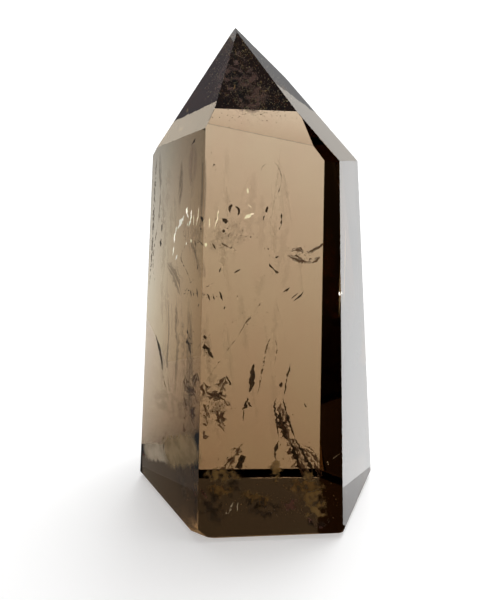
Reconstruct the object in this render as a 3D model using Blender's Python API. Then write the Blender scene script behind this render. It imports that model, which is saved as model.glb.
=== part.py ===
"""Smoky quartz tower: one natural crystal, cut and polished to a free-standing point.

The stone is a six-sided prism that narrows upwards and ends in a six-faced tip that
sits a little left of the middle. It is shaped the way a lapidary shapes it: a rough
block is cut along one flat plane after another, the rim of the base is bevelled, and
the sharp edges are broken by the polishing.

Units are metres, +Z is up, and the front face looks towards -Y. The finished stone
stands on Z = 0 with the middle of its outline over the origin.
"""
import math
from typing import NamedTuple

import bmesh
import bpy
from mathutils import Matrix, Vector

MM = 0.001

# Driving dimensions
TIP_HEIGHT = 69.2 * MM
TIP_OFFSET_X = -1.7 * MM
TIP_OFFSET_Y = -0.1 * MM
ROUGH_BLOCK_SIZE = 160.0 * MM
BASE_BEVEL = 0.7 * MM
CORNER_CUT_REACH = 12.65 * MM
CORNER_CUT_AZIMUTH = -36.0
CORNER_CUT_LEAN = -25.5
EDGE_ROUNDING = 0.12 * MM
EDGE_ROUNDING_SEGMENTS = 2
EDGE_ROUNDING_FROM_ANGLE = 8.0
MERGE_DISTANCE = 0.001 * MM

# Finish
STONE_COLOUR = (0.52, 0.40, 0.27, 1.0)
STONE_ROUGHNESS = 0.02
QUARTZ_IOR = 1.544


class SideFace(NamedTuple):
    """One tall face of the prism.

    azimuth is the compass direction that the face looks in, in degrees, 0 at the
    front and growing towards +X. lean is how far the face tips back from upright, in
    degrees. reach is the distance from the axis to the face at the base.
    """

    azimuth: float
    lean: float
    reach: float


class TipFace(NamedTuple):
    """One face of the tip.

    azimuth and lean are as on a side face. rise is how far above the tip the face's
    plane passes: 0 for a face that meets the tip, more for a smaller one below it.
    """

    azimuth: float
    lean: float
    rise: float


SIDE_FACES = {
    "front": SideFace(0.0, 6.2, 11.15 * MM),
    "front_right": SideFace(66.6, 4.15, 15.8 * MM),
    "back_right": SideFace(132.8, 4.3, 15.65 * MM),
    "back": SideFace(176.5, 5.4, 12.3 * MM),
    "back_left": SideFace(240.0, 2.8, 16.9 * MM),
    "front_left": SideFace(297.7, 5.0, 12.5 * MM),
}

TIP_FACES = {
    "front": TipFace(1.4, 28.4, 0.0),
    "right": TipFace(83.5, 40.9, 0.0),
    "back_right": TipFace(134.5, 28.9, 5.45 * MM),
    "back": TipFace(172.0, 23.6, 2.6 * MM),
    "back_left": TipFace(240.0, 33.5, 1.4 * MM),
    "left": TipFace(285.4, 26.6, 0.0),
}


def clear_scene() -> None:
    """Remove every object that the scene holds."""
    for obj in list(bpy.data.objects):
        bpy.data.objects.remove(obj, do_unlink=True)


def outward(azimuth: float, lean: float) -> Vector:
    """Return the unit vector that a face with this azimuth and lean looks along."""
    turn = math.radians(azimuth)
    tip_back = math.radians(lean)
    level = math.cos(tip_back)
    return Vector((level * math.sin(turn), -level * math.cos(turn), math.sin(tip_back)))


def saw(bm: bmesh.types.BMesh, point: Vector, normal: Vector) -> None:
    """Cut the block along a plane, drop what lies outside it and close the cut."""
    cut = bmesh.ops.bisect_plane(
        bm,
        geom=bm.verts[:] + bm.edges[:] + bm.faces[:],
        dist=MERGE_DISTANCE,
        plane_co=point,
        plane_no=normal,
        clear_outer=True,
    )
    rim = [item for item in cut["geom_cut"] if isinstance(item, bmesh.types.BMEdge)]
    if rim:
        bmesh.ops.edgenet_fill(bm, edges=rim)


def rough_block() -> bmesh.types.BMesh:
    """Return a plain block, larger than the stone, that stands on Z = 0."""
    bm = bmesh.new()
    lift = Matrix.Translation((0.0, 0.0, ROUGH_BLOCK_SIZE / 2))
    bmesh.ops.create_cube(bm, size=ROUGH_BLOCK_SIZE, matrix=lift)
    return bm


def cut_side_faces(bm: bmesh.types.BMesh) -> None:
    """Cut the six tall faces of the prism."""
    for face in SIDE_FACES.values():
        foot = outward(face.azimuth, 0.0) * face.reach
        saw(bm, foot, outward(face.azimuth, face.lean))


def cut_tip_faces(bm: bmesh.types.BMesh) -> None:
    """Cut the six faces of the tip."""
    tip = Vector((TIP_OFFSET_X, TIP_OFFSET_Y, TIP_HEIGHT))
    for face in TIP_FACES.values():
        above = tip + Vector((0.0, 0.0, face.rise))
        saw(bm, above, outward(face.azimuth, face.lean))


def cut_front_left_corner(bm: bmesh.types.BMesh) -> None:
    """Cut the small facet that takes off the front left corner of the base."""
    foot = outward(CORNER_CUT_AZIMUTH, 0.0) * CORNER_CUT_REACH
    saw(bm, foot, outward(CORNER_CUT_AZIMUTH, CORNER_CUT_LEAN))


def bevel_base_rim(bm: bmesh.types.BMesh) -> None:
    """Bevel the rim of the base, all the way round."""
    bm.normal_update()
    base = min(bm.faces, key=lambda face: face.calc_center_median().z)
    bmesh.ops.bevel(
        bm,
        geom=list(base.edges),
        offset=BASE_BEVEL,
        offset_type="OFFSET",
        segments=1,
        profile=0.5,
        affect="EDGES",
        material=-1,
    )


def centre_over_origin(bm: bmesh.types.BMesh) -> None:
    """Slide the stone so that the middle of its outline is over the origin."""
    xs = [vert.co.x for vert in bm.verts]
    ys = [vert.co.y for vert in bm.verts]
    middle = Vector(((min(xs) + max(xs)) / 2, (min(ys) + max(ys)) / 2, 0.0))
    bmesh.ops.translate(bm, verts=bm.verts[:], vec=-middle)


def quartz_material() -> bpy.types.Material:
    """Return the clear brown material of the polished stone."""
    material = bpy.data.materials.new("smoky_quartz")
    material.use_nodes = True
    shader = material.node_tree.nodes["Principled BSDF"]
    shader.inputs["Base Color"].default_value = STONE_COLOUR
    shader.inputs["Roughness"].default_value = STONE_ROUGHNESS
    shader.inputs["Metallic"].default_value = 0.0
    shader.inputs["IOR"].default_value = QUARTZ_IOR
    shader.inputs["Transmission Weight"].default_value = 1.0
    return material


def add_edge_rounding(obj: bpy.types.Object) -> None:
    """Break every sharp edge by the small radius that polishing leaves."""
    rounding = obj.modifiers.new("edge_rounding", "BEVEL")
    rounding.width = EDGE_ROUNDING
    rounding.segments = EDGE_ROUNDING_SEGMENTS
    rounding.limit_method = "ANGLE"
    rounding.angle_limit = math.radians(EDGE_ROUNDING_FROM_ANGLE)
    rounding.use_clamp_overlap = True


def build_tower() -> bpy.types.Object:
    """Cut the stone from its block and return it as one object."""
    bm = rough_block()
    cut_side_faces(bm)
    cut_tip_faces(bm)
    cut_front_left_corner(bm)
    bmesh.ops.remove_doubles(bm, verts=bm.verts[:], dist=MERGE_DISTANCE)
    bevel_base_rim(bm)
    centre_over_origin(bm)
    bmesh.ops.recalc_face_normals(bm, faces=bm.faces[:])
    mesh = bpy.data.meshes.new("quartz_tower")
    bm.to_mesh(mesh)
    bm.free()
    mesh.materials.append(quartz_material())
    tower = bpy.data.objects.new("quartz_tower", mesh)
    bpy.context.scene.collection.objects.link(tower)
    add_edge_rounding(tower)
    return tower


clear_scene()
build_tower()
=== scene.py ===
"""Smoky quartz tower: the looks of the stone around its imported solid.

The stone is clear brown quartz, polished all over. Its colour is real absorption, so
it deepens where the stone is thicker. Inside it are the marks of a natural crystal:
open cracks, feathery healed cracks, thin veils, flakes that flash in the light, dark
flecks and brown stains. A mark is placed by where it shows in the picture and by how
deep it lies in the stone, and the sight line to it bends at the polished face.
"""

import logging
import math
import random
from collections.abc import Iterator
from dataclasses import dataclass, field, fields
from enum import Enum

import bmesh
import bpy
from mathutils import Euler, Matrix, Quaternion, Vector, noise
from mathutils.bvhtree import BVHTree


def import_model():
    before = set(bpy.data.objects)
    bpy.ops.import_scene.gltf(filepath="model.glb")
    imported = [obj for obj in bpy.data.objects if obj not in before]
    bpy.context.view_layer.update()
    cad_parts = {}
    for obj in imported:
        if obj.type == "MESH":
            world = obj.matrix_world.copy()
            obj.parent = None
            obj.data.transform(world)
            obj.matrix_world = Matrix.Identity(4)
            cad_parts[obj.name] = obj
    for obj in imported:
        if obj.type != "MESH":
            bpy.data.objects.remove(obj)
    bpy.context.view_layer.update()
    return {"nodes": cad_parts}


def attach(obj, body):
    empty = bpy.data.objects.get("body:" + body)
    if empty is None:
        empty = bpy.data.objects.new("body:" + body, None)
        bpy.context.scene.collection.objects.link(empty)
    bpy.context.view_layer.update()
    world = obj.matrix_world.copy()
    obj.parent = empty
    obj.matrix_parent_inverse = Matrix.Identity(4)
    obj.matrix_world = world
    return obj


logger = logging.getLogger("quartz_tower")

MM = 0.001
ROOT = "root"
STONE_NODE = "quartz_tower"
QUARTZ_IOR = 1.544
SKIN = 0.25 * MM
TAPER_POWER = 0.75
MERGE_DISTANCE = 0.001 * MM

Colour = tuple[float, float, float]
Scale = tuple[float, float, float]
Span = tuple[float, float]
Pixel = tuple[float, float]

WHITE: Colour = (1.0, 1.0, 1.0)


class Pattern(Enum):
    """How a mark's colour and cover vary."""

    CLOUD = "cloud"
    STREAK = "streak"


class Taper(Enum):
    """Where a ribbon of crack narrows to nothing."""

    BOTH_ENDS = "both_ends"
    NO_END = "no_end"


class Socket:
    """A node socket that Python's operators can do shader maths with."""

    def __init__(self, graph: "Graph", socket: bpy.types.NodeSocket) -> None:
        """Wrap one output socket of a graph."""
        self.graph = graph
        self.socket = socket

    def _maths(self, operation: str, *values: "Socket | float") -> "Socket":
        """Add a Math node.

        Args:
            operation: The Math node's operation.
            values: Its inputs, in order, as sockets or plain numbers.

        Returns:
            The node's output, wrapped.
        """
        return self.graph.add(
            "ShaderNodeMath", {"operation": operation}, dict(enumerate(values))
        )

    def __add__(self, other: "Socket | float") -> "Socket":
        """Return the sum."""
        return self._maths("ADD", self, other)

    def __radd__(self, other: float) -> "Socket":
        """Return the sum of a plain number and this."""
        return self._maths("ADD", other, self)

    def __mul__(self, other: "Socket | float") -> "Socket":
        """Return the product."""
        return self._maths("MULTIPLY", self, other)

    def __rmul__(self, other: float) -> "Socket":
        """Return the product of a plain number and this."""
        return self._maths("MULTIPLY", other, self)

    def step(self, low: float, high: float) -> "Socket":
        """Return 0 below low and 1 above high, with a smooth rise between them.

        Args:
            low: The value at which the rise begins. It may be above high, and then
                the result falls instead.
            high: The value at which the rise ends.

        Returns:
            The smoothed step.
        """
        settings = {"interpolation_type": "SMOOTHSTEP"}
        sockets = {"Value": self, "From Min": low, "From Max": high}
        return self.graph.add("ShaderNodeMapRange", settings, sockets)


class Graph:
    """A node tree that is built by short expressions."""

    def __init__(self, tree: bpy.types.NodeTree) -> None:
        """Wrap a node tree."""
        self.tree = tree

    def plug(self, target: bpy.types.NodeSocket, value: object) -> None:
        """Link an input to a wrapped socket, or set it to a plain value.

        Args:
            target: The input.
            value: The wrapped socket or the plain value.
        """
        if isinstance(value, Socket):
            self.tree.links.new(value.socket, target)
        else:
            target.default_value = value

    def add(
        self,
        kind: str,
        settings: dict[str, object] | None = None,
        sockets: dict[str | int, object] | None = None,
        output: str | int = 0,
    ) -> Socket:
        """Add a node.

        Args:
            kind: The node's type.
            settings: Its own properties, set first.
            sockets: What goes into its inputs, as plain values or wrapped sockets.
            output: Which of its outputs to return.

        Returns:
            The chosen output, wrapped.
        """
        node = self.tree.nodes.new(kind)
        for name, value in (settings or {}).items():
            setattr(node, name, value)
        for name, value in (sockets or {}).items():
            self.plug(node.inputs[name], value)
        return Socket(self, node.outputs[output])

    def mix(self, factor: "Socket | float", first: object, second: object) -> Socket:
        """Mix two colours.

        Args:
            factor: How much of the second colour there is.
            first: The first colour, as three numbers or a socket.
            second: The second colour, as three numbers or a socket.

        Returns:
            The mixed colour.
        """
        colours = [c if isinstance(c, Socket) else (*c, 1.0) for c in (first, second)]
        sockets = {0: factor, 6: colours[0], 7: colours[1]}
        return self.add("ShaderNodeMix", {"data_type": "RGBA"}, sockets, output=2)

    def place(self, stretch: Scale = (1.0, 1.0, 1.0)) -> Socket:
        """Return the piece's own coordinates in metres, scaled along each axis."""
        spot = self.add("ShaderNodeTexCoord", output="Object")
        return self.add("ShaderNodeMapping", {}, {"Vector": spot, "Scale": stretch})

    def cloud(self, where: Socket, size: float, detail: float = 3.0) -> Socket:
        """Return a noise pattern.

        Args:
            where: The coordinates that it is read at.
            size: About how large one of its features is, in the coordinates' units.
            detail: How many finer layers it has.

        Returns:
            The pattern, mostly between 0.3 and 0.7.
        """
        sockets = {"Vector": where, "Scale": 1.0 / size, "Detail": detail}
        return self.add("ShaderNodeTexNoise", {}, sockets)

    def attribute(self, name: str) -> Socket:
        """Return a number that the mesh holds at its vertices."""
        return self.add("ShaderNodeAttribute", {"attribute_name": name}, output="Fac")


def surface(name: str, inputs: dict[str, object]) -> tuple[bpy.types.Material, Graph]:
    """Make a material with one Principled shader.

    Args:
        name: The material's name.
        inputs: Plain values for the shader's sockets.

    Returns:
        The material, and its graph.
    """
    material = bpy.data.materials.new(name)
    material.use_nodes = True
    shader = material.node_tree.nodes["Principled BSDF"]
    for socket, value in inputs.items():
        shader.inputs[socket].default_value = value
    return material, Graph(material.node_tree)


def connect(material: bpy.types.Material, inputs: dict[str, Socket]) -> None:
    """Link wrapped sockets to the material's Principled shader.

    Args:
        material: A material that surface() made.
        inputs: What goes to each of the shader's sockets.
    """
    shader = material.node_tree.nodes["Principled BSDF"]
    for name, value in inputs.items():
        material.node_tree.links.new(value.socket, shader.inputs[name])


@dataclass(frozen=True)
class QuartzFinish:
    """Clear smoky quartz, polished on every face and duller under the base.

    absorption is how fast the stone takes red, green and blue, per metre, and
    headroom keeps the blue of its volume's colour just above none. The zone fields
    shape the faint zones of colour that the crystal grew with, and the ripple fields
    the slight wave that hand polishing leaves. detail is how many finer layers both
    patterns have. The sawn base is as rough as base_roughness, up to base_height.
    """

    absorption: Colour = (59.0, 80.0, 110.0)
    clear: Colour = (1.0, 1.0, 0.985)
    rosy: Colour = (0.985, 0.945, 0.94)
    zone_size: float = 6.0 * MM
    zone_stretch: Scale = (1.0, 1.0, 0.45)
    zone_rise: Span = (0.42, 0.62)
    ripple_size: float = 2.2 * MM
    ripple_stretch: Scale = (1.0, 1.0, 0.6)
    ripple_depth: float = 0.0022 * MM
    base_height: float = 0.25 * MM
    base_roughness: float = 0.04
    detail: float = 2.0
    headroom: float = 1.02

    def material(self) -> bpy.types.Material:
        """Make the stone's material.

        Returns:
            The material.
        """
        inputs = {"IOR": QUARTZ_IOR, "Transmission Weight": 1.0}
        material, graph = surface("smoky_quartz_polished", inputs)
        zones = graph.cloud(graph.place(self.zone_stretch), self.zone_size, self.detail)
        colour = graph.mix(zones.step(*self.zone_rise), self.clear, self.rosy)
        ripple = graph.cloud(graph.place(self.ripple_stretch), self.ripple_size, self.detail)
        bump = graph.add(
            "ShaderNodeBump", {}, {"Distance": self.ripple_depth, "Height": ripple}
        )
        spot = graph.add("ShaderNodeTexCoord", output="Object")
        height = graph.add("ShaderNodeSeparateXYZ", {}, {0: spot}, output="Z")
        under = height.step(self.base_height, 0.5 * self.base_height)
        connect(material, {
            "Base Color": colour,
            "Roughness": under * self.base_roughness,
            "Normal": bump,
        })
        self._add_absorption(material, graph)
        return material

    def _add_absorption(self, material: bpy.types.Material, graph: Graph) -> None:
        """Fill the stone with its brown, as plain constant absorption.

        Args:
            material: The stone's material.
            graph: Its graph.
        """
        density = max(self.absorption) * self.headroom
        colour = tuple(1.0 - rate / density for rate in self.absorption)
        settings = {"Color": (*colour, 1.0), "Density": density}
        volume = graph.add("ShaderNodeVolumeAbsorption", {}, settings)
        output = material.node_tree.nodes["Material Output"]
        graph.plug(output.inputs["Volume"], volume)


@dataclass(frozen=True)
class MarkFinish:
    """The finish of one kind of mark inside the stone.

    dark and light are the ends of its range of colour, grain the size of its
    pattern, and cover how much of it hides what is behind, from 0 to 1. thinning
    runs from 0, an even sheet, to 1, one that breaks up into patches. glow is painted
    light: a faint light of its own that the mark gives off, though it is no lamp. It
    stands for the flash of a flake and for the light that a haze, cloud or line catches.
    """

    name: str
    dark: Colour
    light: Colour
    pattern: Pattern = Pattern.CLOUD
    grain: float = 0.8 * MM
    cover: float = 1.0
    thinning: float = 0.0
    soft_rim: float = 0.0
    roughness: float = 0.5
    metallic: float = 0.0
    glow: float = 0.0

    DETAIL = 4.0
    STREAK_STRETCH = (0.16, 1.0, 1.0)
    COLOUR_RISE = (0.36, 0.64)
    PATCH_FROM = 0.30
    PATCH_SHIFT = 0.22
    PATCH_RISE = 0.16

    def material(self) -> bpy.types.Material:
        """Make the mark's material.

        Returns:
            The material.
        """
        material, graph = surface(self.name, {
            "Roughness": self.roughness,
            "Metallic": self.metallic,
            "Alpha": self.cover,
            "Emission Strength": self.glow,
        })
        shade = self._pattern(graph)
        colour = graph.mix(shade.step(*self.COLOUR_RISE), self.dark, self.light)
        links = {"Base Color": colour}
        # Painted light: the glow is given off in the mark's own colour.
        if self.glow:
            links["Emission Color"] = colour
        if self.thinning or self.soft_rim:
            links["Alpha"] = self._cover(graph, shade)
        connect(material, links)
        return material

    def _pattern(self, graph: Graph) -> Socket:
        """Make the pattern that both the colour and the cover follow.

        Args:
            graph: The material's graph.

        Returns:
            The pattern.
        """
        if self.pattern is Pattern.CLOUD:
            return graph.cloud(graph.place(), self.grain, self.DETAIL)
        along = graph.add("ShaderNodeUVMap", {"uv_map": "lay"})
        stretch = {"Vector": along, "Scale": self.STREAK_STRETCH}
        return graph.cloud(graph.add("ShaderNodeMapping", {}, stretch), self.grain, self.DETAIL)

    def _cover(self, graph: Graph, shade: Socket) -> Socket:
        """Make how opaque the mark is from place to place.

        Args:
            graph: The material's graph.
            shade: The mark's pattern.

        Returns:
            The cover, from 0 to 1.
        """
        cover: Socket | float = self.cover
        if self.thinning:
            low = self.PATCH_FROM + self.PATCH_SHIFT * self.thinning
            cover = shade.step(low, low + self.PATCH_RISE) * cover
        if self.soft_rim:
            cover = graph.attribute("rim").step(0.0, self.soft_rim) * cover
        return cover


@dataclass
class Camera:
    """The camera, at the photograph's viewing angle.

    eye and target are points in metres. focal_px is the focal length in pixels of
    the 502 by 600 image.
    """

    eye: Vector = field(default_factory=lambda: Vector((-9.12, -137.26, 105.7)) * MM)
    target: Vector = field(default_factory=lambda: Vector((-0.92, -0.96, 32.4)) * MM)
    focal_px: float = 1138.0
    image_width: float = 502.0
    image_height: float = 600.0
    sensor_mm: float = 36.0
    nearest: float = 5.0 * MM
    farthest: float = 20.0

    def build(self) -> None:
        """Create the camera and make it the scene's own."""
        data = bpy.data.cameras.new("camera")
        data.sensor_width = self.sensor_mm
        data.lens = self.sensor_mm * self.focal_px / self.image_height
        data.clip_start = self.nearest
        data.clip_end = self.farthest
        camera = bpy.data.objects.new("camera", data)
        camera.location = self.eye
        camera.rotation_euler = self._turn().to_euler()
        bpy.context.scene.collection.objects.link(camera)
        bpy.context.scene.camera = camera

    def _turn(self) -> Quaternion:
        """Return the turn from a camera that looks down to this one."""
        return (self.target - self.eye).to_track_quat("-Z", "Y")

    def sight(self, pixel: Pixel) -> Vector:
        """Find the direction in which the camera looks through a pixel.

        Args:
            pixel: A place in the picture.

        Returns:
            The direction, one long.
        """
        across = pixel[0] - self.image_width / 2
        down = pixel[1] - self.image_height / 2
        return (self._turn() @ Vector((across, -down, -self.focal_px))).normalized()


def read_mesh(obj: bpy.types.Object) -> bmesh.types.BMesh:
    """Copy an object's mesh.

    Args:
        obj: The object, which stays as it is.

    Returns:
        The copy, which whoever asked for it frees.
    """
    bm = bmesh.new()
    bm.from_mesh(obj.data)
    return bm


class Sightlines:
    """Finds the points inside the stone that show at given places in the picture."""

    NUDGE = 0.05 * MM

    def __init__(self, camera: Camera, stone: bpy.types.Object) -> None:
        """Read the stone's faces.

        Args:
            camera: The camera that the picture is taken with.
            stone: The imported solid.
        """
        self.camera = camera
        bm = read_mesh(stone)
        self.faces = BVHTree.FromBMesh(bm)
        bm.free()

    def enter(self, pixel: Pixel) -> tuple[Vector, Vector]:
        """Follow the line of sight through a pixel to the stone and into it.

        Args:
            pixel: A place in the picture, on the stone.

        Returns:
            Where the line meets the stone, and its direction inside.
        """
        sight = self.camera.sight(pixel)
        spot, normal, _, _ = self.faces.ray_cast(self.camera.eye, sight)
        if spot is None:
            raise ValueError(f"the stone does not show at {pixel}")
        facing = -sight.dot(normal)
        bent = math.sqrt(1.0 - (1.0 - facing**2) / QUARTZ_IOR**2)
        inside = sight / QUARTZ_IOR + normal * (facing / QUARTZ_IOR - bent)
        return spot, inside.normalized()

    def inside(self, pixel: Pixel, depth: float) -> Vector:
        """Return the point that shows at a pixel.

        Args:
            pixel: A place in the picture, on the stone.
            depth: How far through the stone the point lies, from 0 at the face to
                1 where the line of sight leaves.

        Returns:
            The point, in metres.
        """
        spot, line = self.enter(pixel)
        far, _, _, reach = self.faces.ray_cast(spot + line * self.NUDGE, line)
        if far is None:
            return spot
        return spot + line * reach * depth

    def keep_in(self, spot: Vector) -> Vector:
        """Hold a point under the stone's skin.

        Args:
            spot: The point.

        Returns:
            The point itself, or the nearest one that is deep enough.
        """
        near, normal, _, _ = self.faces.find_nearest(spot)
        above = (spot - near).dot(normal)
        return spot if above < -SKIN else near - normal * SKIN


@dataclass(frozen=True)
class Ribbon:
    """One crack, veil or streak: a strip that follows a route through the stone.

    route is where it shows in the picture, and depth how far through the stone its
    two ends lie. width is its widest, turn how far it is rolled about its own line
    from facing the camera, ragged how rough its two sides are, and wave how far it
    ripples out of its own plane.
    """

    route: tuple[Pixel, ...]
    width: float
    depth: Span = (0.4, 0.4)
    turn: float = 0.0
    ragged: float = 0.0
    wave: float = 0.0
    taper: Taper = Taper.BOTH_ENDS


def strip(
    width: float,
    *route: Pixel,
    depth: float = 0.4,
    far: float | None = None,
    **shape: object,
) -> Ribbon:
    """Describe a ribbon in the units of the lists below.

    Args:
        width: Its widest, in millimetres.
        route: Where it shows in the picture.
        depth: How far through the stone its first end lies.
        far: How far through the stone its other end lies, where that differs.
        shape: Any other fields of the ribbon.

    Returns:
        The ribbon.
    """
    return Ribbon(route, width * MM, (depth, depth if far is None else far), **shape)


class RibbonMaker:
    """Makes the strips of one mark and joins them in one mesh."""

    STEP = 0.18 * MM
    STEPS_ALONG = (4, 160)
    STEPS_ACROSS = (2, 60)
    LAY_SHIFT = 0.05
    SEED_SHIFT = 7.3
    SEED_PLACE = (1.7, 0.4)
    END_POWER = 3
    SIDE_POWER = 2
    RAG_LENGTH = 0.55 * MM
    RAG_HEIGHT = 2.0
    FINE_RAG_LENGTH = 0.35
    FINE_RAG_HEIGHT = 0.6
    NARROWEST = 0.1
    WAVE_LENGTH = 2.4 * MM

    def __init__(self, sightlines: Sightlines) -> None:
        """Start an empty mesh.

        Args:
            sightlines: What finds the places of the strips.
        """
        self.sightlines = sightlines
        self.bm = bmesh.new()
        self.uv = self.bm.loops.layers.uv.new("lay")
        self.rim = self.bm.verts.layers.float.new("rim")
        self.count = 0

    def add(self, ribbon: Ribbon) -> None:
        """Add one strip: a grid that is laid along its route.

        Args:
            ribbon: The strip's route and sizes.
        """
        spots = self._spots(ribbon)
        length = sum((b - a).length for a, b in zip(spots, spots[1:]))
        along = self._steps(length, self.STEPS_ALONG)
        across = self._steps(ribbon.width, self.STEPS_ACROSS)
        grid = bmesh.ops.create_grid(
            self.bm, x_segments=along, y_segments=across, size=1.0
        )
        middle = ribbon.route[len(ribbon.route) // 2]
        _, sight = self.sightlines.enter(middle)
        seed = Vector((self.count * self.SEED_SHIFT, *self.SEED_PLACE))
        lift = self.count * self.LAY_SHIFT
        for vert in grid["verts"]:
            u = 0.5 + 0.5 * vert.co.x
            v = vert.co.y
            for loop in vert.link_loops:
                loop[self.uv].uv = (u * length, v * ribbon.width / 2 + lift)
            from_ends = 1.0 - abs(2.0 * u - 1.0) ** self.END_POWER
            vert[self.rim] = from_ends * (1.0 - abs(v) ** self.SIDE_POWER)
            vert.co = self._place(ribbon, spots, (u, v), sight, seed)
        self.count += 1

    def _steps(self, size: float, limits: tuple[int, int]) -> int:
        """Return how many steps a size is cut into, within its limits."""
        return max(limits[0], min(limits[1], round(size / self.STEP)))

    def _spots(self, ribbon: Ribbon) -> list[Vector]:
        """Find the points inside the stone that a strip's route stands for.

        Args:
            ribbon: The strip.

        Returns:
            The points, in order.
        """
        first, last = ribbon.depth
        steps = len(ribbon.route) - 1
        return [
            self.sightlines.inside(pixel, first + (last - first) * index / steps)
            for index, pixel in enumerate(ribbon.route)
        ]

    def _place(
        self,
        ribbon: Ribbon,
        spots: list[Vector],
        share: tuple[float, float],
        sight: Vector,
        seed: Vector,
    ) -> Vector:
        """Return where one vertex of the strip goes.

        Args:
            ribbon: The strip.
            spots: The points of its route.
            share: The vertex's share of the way along, 0 to 1, and across, -1 to 1.
            sight: The line of sight inside the stone.
            seed: What makes this strip's roughness its own.

        Returns:
            The vertex's place, inside the stone.
        """
        u, v = share
        centre, onward = follow(spots, u)
        side = onward.cross(sight).normalized()
        side.rotate(Quaternion(onward, math.radians(ribbon.turn)))
        out = side.cross(onward)
        chip = seed * (1.0 if v > 0 else 2.0)
        rag = noise.noise(centre / self.RAG_LENGTH + chip)
        fine_length = self.FINE_RAG_LENGTH * self.RAG_LENGTH
        rag += self.FINE_RAG_HEIGHT * noise.noise(centre / fine_length + chip)
        half = 0.5 * ribbon.width * narrowing(ribbon.taper, u)
        half *= max(self.NARROWEST, 1.0 + ribbon.ragged * self.RAG_HEIGHT * rag)
        spot = centre + side * half * v
        ripple = noise.noise(spot / self.WAVE_LENGTH + seed)
        return self.sightlines.keep_in(spot + out * ribbon.wave * ripple)


def follow(spots: list[Vector], share: float) -> tuple[Vector, Vector]:
    """Find a point on the smooth curve through some points.

    Args:
        spots: The points, at least two.
        share: How far along the curve, from 0 to 1.

    Returns:
        The point, and the curve's direction there.
    """
    spans = len(spots) - 1
    span = min(int(share * spans), spans - 1)
    t = share * spans - span
    b, c = spots[span], spots[span + 1]
    a = spots[span - 1] if span else 2 * b - c
    d = spots[span + 2] if span + 2 < len(spots) else 2 * c - b
    out, home = (c - a) / 2, (d - b) / 2
    place = (
        b * (2 * t**3 - 3 * t**2 + 1)
        + out * (t**3 - 2 * t**2 + t)
        + c * (3 * t**2 - 2 * t**3)
        + home * (t**3 - t**2)
    )
    onward = (
        b * (6 * t**2 - 6 * t)
        + out * (3 * t**2 - 4 * t + 1)
        + c * (6 * t - 6 * t**2)
        + home * (3 * t**2 - 2 * t)
    )
    return place, onward.normalized()


def narrowing(taper: Taper, share: float) -> float:
    """Work out a strip's share of its full width at some share of its length.

    Args:
        taper: Where the strip narrows.
        share: The share of its length, from 0 to 1.

    Returns:
        The share of its width, from 0 to 1.
    """
    if taper is Taper.NO_END:
        return 1.0
    from_middle = 2.0 * share - 1.0
    return max(0.0, 1.0 - from_middle**2) ** TAPER_POWER


def make_piece(name: str, bm: bmesh.types.BMesh, finish: MarkFinish) -> bpy.types.Object:
    """Turn a finished bmesh into a piece of the stone.

    Args:
        name: The piece's name.
        bm: Its shape, which is used up.
        finish: What it is dressed in.

    Returns:
        The piece, riding on the stone.
    """
    mesh = bpy.data.meshes.new(name)
    bm.to_mesh(mesh)
    bm.free()
    mesh.materials.append(finish.material())
    piece = bpy.data.objects.new(name, mesh)
    bpy.context.scene.collection.objects.link(piece)
    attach(piece, ROOT)
    logger.info("%s: %d faces", name, len(mesh.polygons))
    return piece


@dataclass(frozen=True)
class Marks:
    """A group of marks of one kind.

    Each field of a subclass is one strip, unless it has its own way to lay them.
    """

    def ribbons(self) -> Iterator[Ribbon]:
        """Yield the group's strips, in order."""
        for entry in fields(self):
            yield getattr(self, entry.name)

    def build(self, sightlines: Sightlines, name: str, finish: MarkFinish) -> bpy.types.Object:
        """Build the group as one piece.

        Args:
            sightlines: What finds the places of its strips.
            name: The piece's name.
            finish: What it is dressed in.

        Returns:
            The piece.
        """
        maker = RibbonMaker(sightlines)
        for ribbon in self.ribbons():
            maker.add(ribbon)
        return make_piece(name, maker.bm, finish)


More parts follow.
